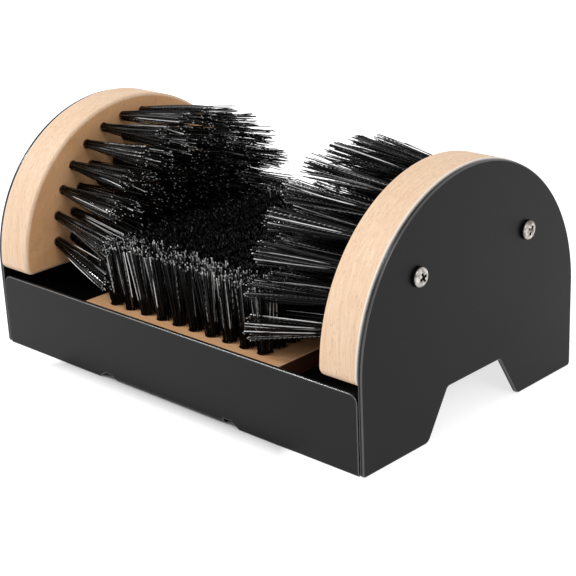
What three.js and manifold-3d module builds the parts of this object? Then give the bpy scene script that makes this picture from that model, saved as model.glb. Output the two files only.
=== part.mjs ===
// Boot scraper: a black sheet-steel tray that carries two half-round brushes, face to face,
// and a flat brush between them. A boot is pulled through the channel between the brushes.
//
// Millimetres, +Z up. X runs along the tray from end plate to end plate, Y from front to back.
// The origin is on the ground, under the middle of the tray.
import * as THREE from "three";
import { mergeVertices } from "three/addons/utils/BufferGeometryUtils.js";
import Module from "manifold-3d";

// Frame
const FRAME_LENGTH = 290;          // outside of one end plate to outside of the other
const FRAME_DEPTH = 180;           // also the diameter of the round top of the end plates
const ARCH_SPRING_HEIGHT = 50;     // where the straight sides of an end plate turn into its round top
const SHEET = 2.5;                 // thickness of all the sheet steel
const PANEL_HEIGHT = 44;           // ground to the lip of the front and back panels
const PANEL_CORNER_RADIUS = 5;
const PANEL_END_GAP = 0.6;         // open seam between a panel and an end plate
const FOOT_CORNER_RADIUS = 2;      // outer lower corners of the end plates

// Notch between the two feet of an end plate
const NOTCH_HEIGHT = 26;
const NOTCH_BOTTOM_WIDTH = 77.5;
const NOTCH_TOP_WIDTH = 45;
const NOTCH_TOP_RADIUS = 3;
const NOTCH_FOOT_RADIUS = 5;

// Fixing flange, folded inwards along the bottom edge of each panel between two relief cuts
const FLANGE_LENGTH = 91;
const FLANGE_REACH = 20;           // from the inside of the panel to the free edge
const FLANGE_LIFT = 0;             // its underside is this far above the ground
const BEND_RADIUS = 1;             // inside radius of the fold
const RELIEF_BOTTOM_WIDTH = 12;
const RELIEF_TOP_WIDTH = 6;
const FIXING_HOLE_DIAMETER = 6;
const FIXING_HOLE_SPACING = 60;

// Brush blocks
const SIDE_BLOCK_THICKNESS = 25;
const SIDE_BLOCK_OVERHANG = 0.6;   // the block stands this much proud of the end plate all round
const SIDE_BLOCK_LIFT = 4;         // lip of the panels to the underside of a side block
const SIDE_BLOCK_CORNER_RADIUS = 5;
const BOTTOM_BLOCK_LENGTH = 157;
const BOTTOM_BLOCK_THICKNESS = 10;
const BOTTOM_BLOCK_CLEARANCE = 0.8; // to each panel
const ROOT_SLICE = 3;              // layer of a block that is one solid with the bristles rooted in it

// Tufts of the side brushes, in half-round rows
const SIDE_BRISTLE_LENGTH = 60;
const ROW_SIDE_MARGIN = 24.7;      // edge of the block to the ends of the outer row
const ROW_TOP_MARGIN = 10.8;       // edge of the block to the top of the outer row
const ROW_BOTTOM_MARGIN = 15.8;    // underside of the block to the lowest tufts
const ROW_SPACING = 12;
const ROW_COUNT = 6;
const SIDE_TUFT_PITCH = 15.9;
const SIDE_SPLAY = 0.13;           // how far the tips spread, as a share of the distance to the middle

// Tufts of the bottom brush, in straight rows
const BOTTOM_BRISTLE_LENGTH = 38;
const BOTTOM_TUFT_MARGIN = 17;     // least distance from an edge of the board to the first row
const BOTTOM_TUFT_PITCH_X = 13.3;
const BOTTOM_TUFT_PITCH_Y = 10.7;
const BOTTOM_SPLAY = 0.04;

// Bristle strands: each tuft is drawn as two
const STRAND_ROOT_WIDTH = 1.8;
const STRAND_TIP_WIDTH = 1.3;
const STRAND_SIDES = 3;
const STRAND_PAIR_SPACING = 3.6;
const BRUSH_CLEARANCE = 2;         // the low side bristles stop this far short of the bottom brush

// Screws: pan heads outside the end plates and under the tray floor
const SIDE_SCREW = { headDiameter: 11, headHeight: 3, shankDiameter: 5, length: 22 };
const SIDE_SCREW_SPACING = 91;
const SIDE_SCREW_HEIGHT = 93.3;
const FLOOR_SCREW = { headDiameter: 8, headHeight: 2.2, shankDiameter: 4, length: 8.8 };
const FLOOR_SCREW_SPACING_X = 120;
const FLOOR_SCREW_SPACING_Y = 120;
const HEAD_RIM_SHARE = 0.3;        // straight rim under the dome, as a share of the head's height
const RECESS_WIDTH_SHARE = 0.11;   // cross recess, as shares of the head's diameter
const RECESS_SPAN_SHARE = 0.56;
const RECESS_DEPTH_SHARE = 0.6;    // and of the head's height

// Fits
const SEAT_GAP = 0.3;              // between pieces that rest against each other
const HOLE_CLEARANCE = 0.3;        // between a shank and its hole, all round

// Smoothness of round shapes
const ARCH_STEPS = 48;
const CORNER_STEPS = 4;
const HOLE_STEPS = 24;
const SCREW_STEPS = 20;
const DOME_STEPS = 4;
const MERGE_DISTANCE = 1e-4;

// Sizes worked out from those above
const HALF_LENGTH = FRAME_LENGTH / 2;
const HALF_DEPTH = FRAME_DEPTH / 2;
const PLATE_INNER_X = HALF_LENGTH - SHEET;
const PANEL_INNER_Y = HALF_DEPTH - SHEET;
const FLOOR_TOP = NOTCH_HEIGHT + SHEET;

const SIDE_BLOCK_RADIUS = HALF_DEPTH + SIDE_BLOCK_OVERHANG;
const SIDE_BLOCK_BOTTOM = PANEL_HEIGHT + SIDE_BLOCK_LIFT;
const SIDE_BLOCK_TOP = ARCH_SPRING_HEIGHT + SIDE_BLOCK_RADIUS;
const SIDE_BLOCK_OUTER_X = PLATE_INNER_X - SEAT_GAP;
const SIDE_BLOCK_FACE_X = SIDE_BLOCK_OUTER_X - SIDE_BLOCK_THICKNESS;

const BOTTOM_BLOCK_BOTTOM = FLOOR_TOP + SEAT_GAP;
const BOTTOM_BLOCK_TOP = BOTTOM_BLOCK_BOTTOM + BOTTOM_BLOCK_THICKNESS;
const BOTTOM_BLOCK_DEPTH = 2 * (PANEL_INNER_Y - BOTTOM_BLOCK_CLEARANCE);
const BOTTOM_TIP_Z = BOTTOM_BLOCK_TOP + BOTTOM_BRISTLE_LENGTH;
const BOTTOM_GAPS_X = Math.floor((BOTTOM_BLOCK_LENGTH - 2 * BOTTOM_TUFT_MARGIN) / BOTTOM_TUFT_PITCH_X);
const BOTTOM_GAPS_Y = Math.floor((BOTTOM_BLOCK_DEPTH - 2 * BOTTOM_TUFT_MARGIN) / BOTTOM_TUFT_PITCH_Y);
const BOTTOM_FIRST_X = (-BOTTOM_GAPS_X * BOTTOM_TUFT_PITCH_X) / 2;
const BOTTOM_FIRST_Y = (-BOTTOM_GAPS_Y * BOTTOM_TUFT_PITCH_Y) / 2;

const wasm = await Module();
wasm.setup();

const MATERIALS = {
  steel: new THREE.MeshStandardMaterial({ color: 0x303031, roughness: 0.55, metalness: 0.3 }),
  beech: new THREE.MeshStandardMaterial({ color: 0xe6c59c, roughness: 0.6, metalness: 0 }),
  bristle: new THREE.MeshStandardMaterial({ color: 0x161616, roughness: 0.45, metalness: 0 }),
  nickel: new THREE.MeshStandardMaterial({ color: 0xc9c2b8, roughness: 0.25, metalness: 1 }),
};

const boot_scraper = new THREE.Group();

// Solids and meshes

function toSolid(geometry) {
  const bare = geometry.clone();
  bare.deleteAttribute("normal");
  bare.deleteAttribute("uv");
  const merged = mergeVertices(bare, MERGE_DISTANCE);
  return new wasm.Manifold(new wasm.Mesh({
    numProp: 3,
    vertProperties: new Float32Array(merged.attributes.position.array),
    triVerts: new Uint32Array(merged.index.array),
  }));
}

function toGeometry(solid) {
  const mesh = solid.getMesh();
  const geometry = new THREE.BufferGeometry();
  geometry.setAttribute("position", new THREE.BufferAttribute(new Float32Array(mesh.vertProperties), 3));
  geometry.setIndex(new THREE.BufferAttribute(new Uint32Array(mesh.triVerts), 1));
  geometry.computeVertexNormals();
  return geometry;
}

function addPiece(parent, name, solid, material) {
  const mesh = new THREE.Mesh(toGeometry(solid), material);
  mesh.name = name;
  parent.add(mesh);
  return mesh;
}

function extrude(shape, depth) {
  return new THREE.ExtrudeGeometry(shape, {
    depth,
    bevelEnabled: false,
    curveSegments: CORNER_STEPS,
  });
}

// An outline drawn as (y, z), given a thickness along X from xFrom to xTo.
function extrudeAlongX(shape, xFrom, xTo) {
  const geometry = extrude(shape, xTo - xFrom);
  const turn = new THREE.Matrix4().makeBasis(
    new THREE.Vector3(0, 1, 0),
    new THREE.Vector3(0, 0, 1),
    new THREE.Vector3(1, 0, 0),
  );
  geometry.applyMatrix4(turn);
  geometry.translate(xFrom, 0, 0);
  return toSolid(geometry);
}

// An outline drawn as (x, z), given a thickness along Y from yFrom to yTo.
function extrudeAlongY(shape, yFrom, yTo) {
  const geometry = extrude(shape, yTo - yFrom);
  geometry.rotateX(Math.PI / 2);
  geometry.translate(0, yTo, 0);
  return toSolid(geometry);
}

function boxSolid(sizeX, sizeY, sizeZ, x, y, z) {
  const geometry = new THREE.BoxGeometry(sizeX, sizeY, sizeZ);
  geometry.translate(x, y, z);
  return toSolid(geometry);
}

// A round bar along X, centred at (y, z), for drilling the end plates and side blocks.
function drillAlongX(diameter, xFrom, xTo, y, z) {
  const geometry = new THREE.CylinderGeometry(diameter / 2, diameter / 2, xTo - xFrom, HOLE_STEPS);
  geometry.rotateZ(Math.PI / 2);
  geometry.translate((xFrom + xTo) / 2, y, z);
  return toSolid(geometry);
}

// A round bar along Z, for drilling flanges, the tray floor and the bottom block.
function drillAlongZ(diameter, zFrom, zTo, x, y) {
  const geometry = new THREE.CylinderGeometry(diameter / 2, diameter / 2, zTo - zFrom, HOLE_STEPS);
  geometry.rotateX(Math.PI / 2);
  geometry.translate(x, y, (zFrom + zTo) / 2);
  return toSolid(geometry);
}

// Outlines

// A closed polygon of straight sides whose corners are rounded: corners are [u, v, radius].
function roundedPolygon(corners) {
  const shape = new THREE.Shape();
  const count = corners.length;
  for (let i = 0; i < count; i += 1) {
    const [u, v, radius] = corners[i];
    const corner = new THREE.Vector2(u, v);
    const before = new THREE.Vector2(...corners[(i + count - 1) % count]);
    const after = new THREE.Vector2(...corners[(i + 1) % count]);
    const toBefore = before.sub(corner).normalize();
    const toAfter = after.sub(corner).normalize();
    const halfAngle = Math.acos(THREE.MathUtils.clamp(toBefore.dot(toAfter), -1, 1)) / 2;
    const trim = radius / Math.tan(halfAngle);
    const start = corner.clone().addScaledVector(toBefore, trim);
    const end = corner.clone().addScaledVector(toAfter, trim);
    if (i === 0) {
      shape.moveTo(start.x, start.y);
    } else {
      shape.lineTo(start.x, start.y);
    }
    if (radius > 0) {
      shape.quadraticCurveTo(corner.x, corner.y, end.x, end.y);
    }
  }
  shape.closePath();
  return shape;
}

// Points of the round top, from its right spring, or from height startZ above it, over to the left.
function archPoints(radius, startZ) {
  const rise = Math.max(startZ - ARCH_SPRING_HEIGHT, 0);
  const first = Math.asin(rise / radius);
  const points = [];
  for (let i = 0; i <= ARCH_STEPS; i += 1) {
    const angle = first + (Math.PI - 2 * first) * (i / ARCH_STEPS);
    points.push([radius * Math.cos(angle), ARCH_SPRING_HEIGHT + radius * Math.sin(angle)]);
  }
  return points;
}

// End plate: straight sides, round top, and a notch between its two feet.
function endPlateShape() {
  const corners = [
    [-HALF_DEPTH, 0, FOOT_CORNER_RADIUS],
    [-NOTCH_BOTTOM_WIDTH / 2, 0, NOTCH_FOOT_RADIUS],
    [-NOTCH_TOP_WIDTH / 2, NOTCH_HEIGHT, NOTCH_TOP_RADIUS],
    [NOTCH_TOP_WIDTH / 2, NOTCH_HEIGHT, NOTCH_TOP_RADIUS],
    [NOTCH_BOTTOM_WIDTH / 2, 0, NOTCH_FOOT_RADIUS],
    [HALF_DEPTH, 0, FOOT_CORNER_RADIUS],
  ];
  const arch = archPoints(HALF_DEPTH, ARCH_SPRING_HEIGHT).map(([y, z]) => [y, z, 0]);
  return roundedPolygon([...corners, ...arch]);
}

// Half width of a side block at a height.
function sideBlockHalfWidth(z) {
  const rise = Math.max(z - ARCH_SPRING_HEIGHT, 0);
  return Math.sqrt(SIDE_BLOCK_RADIUS ** 2 - rise ** 2);
}

// Side block: a half disc with its two lower corners rounded.
function sideBlockShape() {
  const bottom = SIDE_BLOCK_BOTTOM;
  const radius = SIDE_BLOCK_CORNER_RADIUS;
  const cornerWidth = sideBlockHalfWidth(bottom);
  const shoulder = bottom + radius;
  const arch = archPoints(SIDE_BLOCK_RADIUS, shoulder);
  const firstArchPoint = shoulder < ARCH_SPRING_HEIGHT ? 0 : 1;
  const shape = new THREE.Shape();
  shape.moveTo(-cornerWidth + radius, bottom);
  shape.lineTo(cornerWidth - radius, bottom);
  shape.quadraticCurveTo(cornerWidth, bottom, sideBlockHalfWidth(shoulder), shoulder);
  for (const [y, z] of arch.slice(firstArchPoint, -1)) {
    shape.lineTo(y, z);
  }
  shape.lineTo(-sideBlockHalfWidth(shoulder), shoulder);
  shape.quadraticCurveTo(-cornerWidth, bottom, -cornerWidth + radius, bottom);
  return shape;
}

// Panel between the end plates, with its relief cuts; the flange takes the middle of its bottom edge.
function panelShape(foldTop) {
  const halfLength = PLATE_INNER_X - PANEL_END_GAP;
  const cutInner = FLANGE_LENGTH / 2;
  const cutOuter = cutInner + RELIEF_BOTTOM_WIDTH;
  const cutShoulder = cutOuter - (RELIEF_BOTTOM_WIDTH - RELIEF_TOP_WIDTH);
  return roundedPolygon([
    [-halfLength, 0, 0],
    [-cutOuter, 0, 0],
    [-cutShoulder, foldTop, 0],
    [cutShoulder, foldTop, 0],
    [cutOuter, 0, 0],
    [halfLength, 0, 0],
    [halfLength, PANEL_HEIGHT, PANEL_CORNER_RADIUS],
    [-halfLength, PANEL_HEIGHT, PANEL_CORNER_RADIUS],
  ]);
}

// Section of the folded flange as (y, z): down the panel, round the bend and inwards along the ground.
function flangeShape(legTop) {
  const outer = BEND_RADIUS + SHEET;
  return roundedPolygon([
    [-HALF_DEPTH, FLANGE_LIFT, outer],
    [-PANEL_INNER_Y + FLANGE_REACH, FLANGE_LIFT, 0],
    [-PANEL_INNER_Y + FLANGE_REACH, FLANGE_LIFT + SHEET, 0],
    [-PANEL_INNER_Y, FLANGE_LIFT + SHEET, BEND_RADIUS],
    [-PANEL_INNER_Y, legTop, 0],
    [-HALF_DEPTH, legTop, 0],
  ]);
}

// Front panel. The back panel is the same piece turned half round.
function panelSolid() {
  const foldTop = FLANGE_LIFT + SHEET + BEND_RADIUS;
  const legTop = foldTop + SHEET;
  const halfFlange = FLANGE_LENGTH / 2;
  const panel = extrudeAlongY(panelShape(foldTop), -HALF_DEPTH, -PANEL_INNER_Y);
  const flange = extrudeAlongX(flangeShape(legTop), -halfFlange, halfFlange);
  let solid = panel.add(flange);
  const holeY = -PANEL_INNER_Y + FLANGE_REACH / 2;
  for (const side of [-1, 1]) {
    const holeX = side * FIXING_HOLE_SPACING / 2;
    solid = solid.subtract(drillAlongZ(FIXING_HOLE_DIAMETER, -SHEET, foldTop, holeX, holeY));
  }
  return solid;
}

// Pan-head screw along Z: the underside of its head at z = 0, the shank going down, with a cross recess.
function screwSolid({ headDiameter, headHeight, shankDiameter, length }) {
  const headRadius = headDiameter / 2;
  const shankRadius = shankDiameter / 2;
  const rimHeight = headHeight * HEAD_RIM_SHARE;
  const profile = [
    new THREE.Vector2(0, -length),
    new THREE.Vector2(shankRadius, -length + shankDiameter),
    new THREE.Vector2(shankRadius, 0),
    new THREE.Vector2(headRadius, 0),
  ];
  for (let i = 0; i <= DOME_STEPS; i += 1) {
    const angle = (Math.PI / 2) * (i / DOME_STEPS);
    const rise = rimHeight + (headHeight - rimHeight) * Math.sin(angle);
    profile.push(new THREE.Vector2(i === DOME_STEPS ? 0 : headRadius * Math.cos(angle), rise));
  }
  const geometry = new THREE.LatheGeometry(profile, SCREW_STEPS);
  geometry.rotateX(Math.PI / 2);
  const span = headDiameter * RECESS_SPAN_SHARE;
  const width = headDiameter * RECESS_WIDTH_SHARE;
  const depth = 2 * headHeight * RECESS_DEPTH_SHARE;
  const slotA = boxSolid(span, width, depth, 0, 0, headHeight);
  const slotB = boxSolid(width, span, depth, 0, 0, headHeight);
  return toSolid(geometry).subtract(slotA).subtract(slotB);
}

// A strand from root to tip: a thin tapering bar, its section square to X or Z as the brush faces.
function strandSolid(root, tip, faceAxis) {
  const positions = [];
  const index = [];
  for (const [centre, width] of [[root, STRAND_ROOT_WIDTH], [tip, STRAND_TIP_WIDTH]]) {
    for (let i = 0; i < STRAND_SIDES; i += 1) {
      const angle = (2 * Math.PI * i) / STRAND_SIDES;
      const a = (width / 2) * Math.cos(angle);
      const b = (width / 2) * Math.sin(angle);
      if (faceAxis === "x") {
        positions.push(centre.x, centre.y + a, centre.z - b);
      } else {
        positions.push(centre.x + a, centre.y + b, centre.z);
      }
    }
  }
  for (let i = 0; i < STRAND_SIDES; i += 1) {
    const next = (i + 1) % STRAND_SIDES;
    index.push(i, next, STRAND_SIDES + next);
    index.push(i, STRAND_SIDES + next, STRAND_SIDES + i);
  }
  for (let i = 1; i < STRAND_SIDES - 1; i += 1) {
    index.push(0, i + 1, i);
    index.push(STRAND_SIDES, STRAND_SIDES + i, STRAND_SIDES + i + 1);
  }
  const geometry = new THREE.BufferGeometry();
  geometry.setAttribute("position", new THREE.BufferAttribute(new Float32Array(positions), 3));
  geometry.setIndex(index);
  return toSolid(geometry);
}

// Centres of the side tufts as [y, z, along y, along z], where along is the direction of the row.
function sideTufts() {
  const baseZ = SIDE_BLOCK_BOTTOM + ROW_BOTTOM_MARGIN;
  const outerWidth = SIDE_BLOCK_RADIUS - ROW_SIDE_MARGIN;
  const outerRise = SIDE_BLOCK_TOP - ROW_TOP_MARGIN - baseZ;
  const tufts = [];
  for (let row = 0; row < ROW_COUNT; row += 1) {
    const width = outerWidth - row * ROW_SPACING;
    const rise = outerRise - row * ROW_SPACING;
    const rowLength = Math.PI * Math.sqrt((width ** 2 + rise ** 2) / 2);
    const gaps = Math.round(rowLength / SIDE_TUFT_PITCH);
    for (let i = 0; i <= gaps; i += 1) {
      const angle = Math.PI * (i / gaps);
      const along = new THREE.Vector2(-width * Math.sin(angle), rise * Math.cos(angle)).normalize();
      tufts.push([width * Math.cos(angle), baseZ + rise * Math.sin(angle), along.x, along.y]);
    }
  }
  return tufts;
}

// Right brush: the face layer of the block with its strands, which spread from the middle of the face.
function sideBristlesSolid() {
  const middleZ = (SIDE_BLOCK_BOTTOM + SIDE_BLOCK_TOP) / 2;
  const pairHalfWidth = (STRAND_PAIR_SPACING + STRAND_ROOT_WIDTH) / 2;
  const bottomBrushEdge = -BOTTOM_FIRST_X * (1 + BOTTOM_SPLAY) + pairHalfWidth;
  const shortLength = SIDE_BLOCK_FACE_X - bottomBrushEdge - BRUSH_CLEARANCE;
  const rootX = SIDE_BLOCK_FACE_X + ROOT_SLICE / 2;
  const solids = [extrudeAlongX(sideBlockShape(), SIDE_BLOCK_FACE_X, SIDE_BLOCK_FACE_X + ROOT_SLICE)];
  for (const [y, z, alongY, alongZ] of sideTufts()) {
    for (const side of [-1, 1]) {
      const offset = side * STRAND_PAIR_SPACING / 2;
      const root = new THREE.Vector3(rootX, y + alongY * offset, z + alongZ * offset);
      const fromMiddle = new THREE.Vector2(root.y, root.z - middleZ);
      const slope = fromMiddle.multiplyScalar(SIDE_SPLAY / SIDE_BRISTLE_LENGTH);
      const fullTipZ = root.z + slope.y * SIDE_BRISTLE_LENGTH;
      const clearsBottomBrush = fullTipZ > BOTTOM_TIP_Z + BRUSH_CLEARANCE;
      const length = clearsBottomBrush ? SIDE_BRISTLE_LENGTH : Math.min(SIDE_BRISTLE_LENGTH, shortLength);
      const tip = new THREE.Vector3(
        SIDE_BLOCK_FACE_X - length,
        root.y + slope.x * length,
        root.z + slope.y * length,
      );
      solids.push(strandSolid(root, tip, "x"));
    }
  }
  return wasm.Manifold.union(solids);
}

// Bottom brush: the top layer of the board with its strands, which spread a little from the middle.
function bottomBristlesSolid() {
  const sliceBottom = BOTTOM_BLOCK_TOP - ROOT_SLICE;
  const sliceMiddle = BOTTOM_BLOCK_TOP - ROOT_SLICE / 2;
  const solids = [boxSolid(BOTTOM_BLOCK_LENGTH, BOTTOM_BLOCK_DEPTH, ROOT_SLICE, 0, 0, sliceMiddle)];
  for (let column = 0; column <= BOTTOM_GAPS_X; column += 1) {
    for (let row = 0; row <= BOTTOM_GAPS_Y; row += 1) {
      for (const side of [-1, 1]) {
        const x = BOTTOM_FIRST_X + column * BOTTOM_TUFT_PITCH_X + side * STRAND_PAIR_SPACING / 2;
        const y = BOTTOM_FIRST_Y + row * BOTTOM_TUFT_PITCH_Y;
        const root = new THREE.Vector3(x, y, sliceBottom + ROOT_SLICE / 2);
        const tip = new THREE.Vector3(x * (1 + BOTTOM_SPLAY), y * (1 + BOTTOM_SPLAY), BOTTOM_TIP_Z);
        solids.push(strandSolid(root, tip, "z"));
      }
    }
  }
  return wasm.Manifold.union(solids);
}

// One end of the scraper, drawn as the right one. The left end is the same turned half round.
function addEnd(side) {
  const end = new THREE.Group();
  const isRight = side === "right";
  end.rotation.z = isRight ? 0 : Math.PI;
  boot_scraper.add(end);

  const holeDiameter = SIDE_SCREW.shankDiameter + 2 * HOLE_CLEARANCE;
  const screwTipX = HALF_LENGTH + SEAT_GAP - SIDE_SCREW.length;
  const screwYs = [-SIDE_SCREW_SPACING / 2, SIDE_SCREW_SPACING / 2];

  let plate = extrudeAlongX(endPlateShape(), PLATE_INNER_X, HALF_LENGTH);
  let block = extrudeAlongX(sideBlockShape(), SIDE_BLOCK_FACE_X + ROOT_SLICE + SEAT_GAP, SIDE_BLOCK_OUTER_X);
  for (const y of screwYs) {
    const drill = drillAlongX(holeDiameter, screwTipX - SEAT_GAP, HALF_LENGTH + SHEET, y, SIDE_SCREW_HEIGHT);
    plate = plate.subtract(drill);
    block = block.subtract(drill);
  }
  addPiece(end, `${side}_end_plate`, plate, MATERIALS.steel);
  addPiece(end, `${side}_brush_block`, block, MATERIALS.beech);
  addPiece(end, `${side}_bristles`, sideBristlesSolid(), MATERIALS.bristle);

  for (const y of screwYs) {
    const place = (y < 0) === isRight ? "front" : "back";
    const screw = addPiece(end, `${side}_${place}_screw`, screwSolid(SIDE_SCREW), MATERIALS.nickel);
    screw.rotation.y = Math.PI / 2;
    screw.position.set(HALF_LENGTH + SEAT_GAP, y, SIDE_SCREW_HEIGHT);
  }
}

function addPanels() {
  addPiece(boot_scraper, "front_panel", panelSolid(), MATERIALS.steel);
  const back = addPiece(boot_scraper, "back_panel", panelSolid(), MATERIALS.steel);
  back.rotation.z = Math.PI;
}

// Tray floor, the bottom board that lies on it, its brush, and the screws that come up from beneath.
function addTrayFloor() {
  const floorLength = 2 * (PLATE_INNER_X - SEAT_GAP);
  const floorDepth = 2 * (PANEL_INNER_Y - SEAT_GAP);
  const blockHeight = BOTTOM_BLOCK_THICKNESS - ROOT_SLICE - SEAT_GAP;
  const screwTipZ = NOTCH_HEIGHT - SEAT_GAP + FLOOR_SCREW.length;
  const holeDiameter = FLOOR_SCREW.shankDiameter + 2 * HOLE_CLEARANCE;

  let floor = boxSolid(floorLength, floorDepth, SHEET, 0, 0, NOTCH_HEIGHT + SHEET / 2);
  let block = boxSolid(
    BOTTOM_BLOCK_LENGTH, BOTTOM_BLOCK_DEPTH, blockHeight,
    0, 0, BOTTOM_BLOCK_BOTTOM + blockHeight / 2,
  );
  const corners = [
    ["left_front", -1, -1],
    ["right_front", 1, -1],
    ["left_back", -1, 1],
    ["right_back", 1, 1],
  ];
  for (const [corner, sideX, sideY] of corners) {
    const x = sideX * FLOOR_SCREW_SPACING_X / 2;
    const y = sideY * FLOOR_SCREW_SPACING_Y / 2;
    const drill = drillAlongZ(holeDiameter, NOTCH_HEIGHT - SHEET, screwTipZ + SEAT_GAP, x, y);
    floor = floor.subtract(drill);
    block = block.subtract(drill);
    const screw = addPiece(boot_scraper, `floor_screw_${corner}`, screwSolid(FLOOR_SCREW), MATERIALS.nickel);
    screw.rotation.x = Math.PI;
    screw.position.set(x, y, NOTCH_HEIGHT - SEAT_GAP);
  }
  addPiece(boot_scraper, "tray_floor", floor, MATERIALS.steel);
  addPiece(boot_scraper, "bottom_brush_block", block, MATERIALS.beech);
  addPiece(boot_scraper, "bottom_bristles", bottomBristlesSolid(), MATERIALS.bristle);
}

addPanels();
addTrayFloor();
addEnd("left");
addEnd("right");

export default boot_scraper;
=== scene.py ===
"""The looks of the boot scraper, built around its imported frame. Shapes are worked out in millimetres."""
import math

import bmesh
import bpy
import numpy as np
from mathutils import Matrix, Vector


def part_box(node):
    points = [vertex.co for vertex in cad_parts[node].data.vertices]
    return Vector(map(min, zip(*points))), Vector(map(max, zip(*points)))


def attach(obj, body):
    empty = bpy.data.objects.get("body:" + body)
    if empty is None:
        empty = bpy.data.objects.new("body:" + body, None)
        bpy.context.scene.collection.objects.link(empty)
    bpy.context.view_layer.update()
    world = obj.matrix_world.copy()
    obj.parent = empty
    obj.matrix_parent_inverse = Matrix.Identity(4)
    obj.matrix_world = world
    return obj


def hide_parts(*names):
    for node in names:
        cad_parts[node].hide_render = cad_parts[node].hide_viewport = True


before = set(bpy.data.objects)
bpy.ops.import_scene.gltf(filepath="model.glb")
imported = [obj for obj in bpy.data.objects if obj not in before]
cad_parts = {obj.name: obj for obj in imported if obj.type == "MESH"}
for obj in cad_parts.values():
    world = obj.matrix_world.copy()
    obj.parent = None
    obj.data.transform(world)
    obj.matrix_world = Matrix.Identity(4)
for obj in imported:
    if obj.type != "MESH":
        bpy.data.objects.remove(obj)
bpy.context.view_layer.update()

MM = 0.001
BODY = "root"
HALF_TURN = Matrix.Rotation(math.pi, 4, "Z")


def box_mm(node):
    """Lowest and highest corner of a CAD node, in millimetres."""
    low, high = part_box(node)
    return np.array(low) / MM, np.array(high) / MM


# Sizes read from the frame
PLATE_LOW, PLATE_HIGH = box_mm("right_end_plate")
PANEL_HIGH = box_mm("front_panel")[1]
BLOCK_LOW, BLOCK_HIGH = box_mm("right_brush_block")
SIDE_LOW, SIDE_HIGH = box_mm("right_bristles")
BOARD_LOW, BOARD_HIGH = box_mm("bottom_brush_block")
BOTTOM_LOW, BOTTOM_HIGH = box_mm("bottom_bristles")

ROOT_SLICE = 3                         # layer of each block that the CAD model gives to its bristles
HALF_DEPTH = PLATE_HIGH[1]
SPRING = PLATE_HIGH[2] - HALF_DEPTH    # where the straight sides of an end plate turn into its round top
SHEET = PLATE_HIGH[0] - PLATE_LOW[0]
PANEL_FACE_Y = -HALF_DEPTH
PANEL_INNER_Y = PANEL_FACE_Y + SHEET
PANEL_HEIGHT = PANEL_HIGH[2]
NOTCH_HEIGHT = box_mm("tray_floor")[0][2]   # the notch ends level with the underside of the tray floor
FACE_X = SIDE_HIGH[0] - ROOT_SLICE     # face of the right block, where its tufts come out
BLOCK_RADIUS = BLOCK_HIGH[2] - SPRING
BLOCK_BOTTOM = BLOCK_LOW[2]
BOARD_TOP = BOTTOM_LOW[2] + ROOT_SLICE

# Sheet steel
NOTCH_BOTTOM_WIDTH = 77.5
NOTCH_TOP_WIDTH = 45
NOTCH_TOP_RADIUS = 3
NOTCH_FOOT_RADIUS = 5
FOOT_RADIUS = 2
PANEL_CORNER_RADIUS = 5
FLANGE_LENGTH = 91
FLANGE_REACH = 20
FLANGE_CORNER_RADIUS = 2
RELIEF_BOTTOM_WIDTH = 12
RELIEF_TOP_WIDTH = 6
RELIEF_CORNER_RADIUS = 0.6
FIXING_HOLE_RADIUS = 3
FIXING_HOLE_SPACING = 60
SHEET_ROUNDING = 0.7                   # cut edges under their coat
BEND_RADIUS = 1                        # inside of the fold
BEND_STEPS = 6
FOLD_Z = SHEET + BEND_RADIUS           # height where the bend begins
BEND_MIDDLE = BEND_RADIUS + SHEET / 2  # radius of the bend's middle line
BEND_LENGTH = BEND_MIDDLE * math.pi / 2
TONGUE_LENGTH = BEND_LENGTH + FLANGE_REACH - BEND_RADIUS

# Wood
BLOCK_CORNER_RADIUS = 5
BLOCK_FACE_ROUNDING = 2.2              # edge towards the bristles
BLOCK_BACK_ROUNDING = 0.6              # edge towards the end plate
BOARD_CORNER_RADIUS = 1.5
BOARD_ROUNDING = 0.8
SIDE_HOLE_RADIUS = 3.0
BOTTOM_HOLE_RADIUS = 4.7
HOLE_DEPTH = 7
PALE_BACK = 0.9                        # width of the painted highlight along a block's edge next to its end plate

# Colours of beech: along its growth layers, on the rim and on the broad face, and what lies over them. The
# broad face is deeper and warmer, partly its own tone and partly painted shade.
LAYER_STOPS = (0.3, 0.42, 0.6, 0.75)
RIM_COLOURS = ((0.78, 0.52, 0.34), (0.88, 0.64, 0.45), (0.93, 0.71, 0.51), (0.95, 0.75, 0.57))
FACE_COLOURS = ((0.64, 0.31, 0.14), (0.81, 0.43, 0.195), (0.88, 0.49, 0.235), (0.91, 0.54, 0.28))
FIBRE_COLOUR = (0.70, 0.42, 0.24)
WARM_COLOUR = (0.86, 0.56, 0.33)
FLECK_COLOUR = (0.50, 0.27, 0.14)
# end grain: its own darker tone, deepened nearly to black as painted shade
END_GRAIN_AND_SHADE_COLOUR = (0.06, 0.018, 0.007)
# painted highlight along the block's edge next to its end plate
PALE_BACK_COLOUR = (1.0, 0.95, 0.88)

# Filaments
# the second material paints glints on the filaments' ends
STRAIGHT, GLINT_END, CRIMPED = 0, 1, 2      # numbers of their materials
FILAMENT_SIDES = 3
OWN_WIDTHS = (0.92, 1.08)              # least and most width of a filament, as shares of the usual one
GLINT_LENGTH = 0.8                         # length of the end painted paler as a painted glint
ROOT_SHADE = 0.3                       # painted shade at the root, as a share of the shade of the rest
ROOT_SHADE_LENGTH = 0.2                # share of the length along which that darkening ends
DULL_TIP_SHADE = 0.25                  # shade of the painted glints at the ends in a tuft without any shine
BACK_SHINE = 0.93                      # painted shade: the tufts at the back keep less of their pale shades
NO_CRIMP = (0, 1)

# How tufts spread from their holes, as shares of the radius at the root, the radius at the tips or the length
HOLE_DISORDER = 0.05
TIP_DISORDER = 0.12
STRAY_SHARE = 0.04                     # share of the filaments that stand out of their tuft
STRAY_REACH = 1.35
BOW = 0.008
SPREAD_POWER = 1.1
LARGEST_SHARE = 1.2

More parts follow.
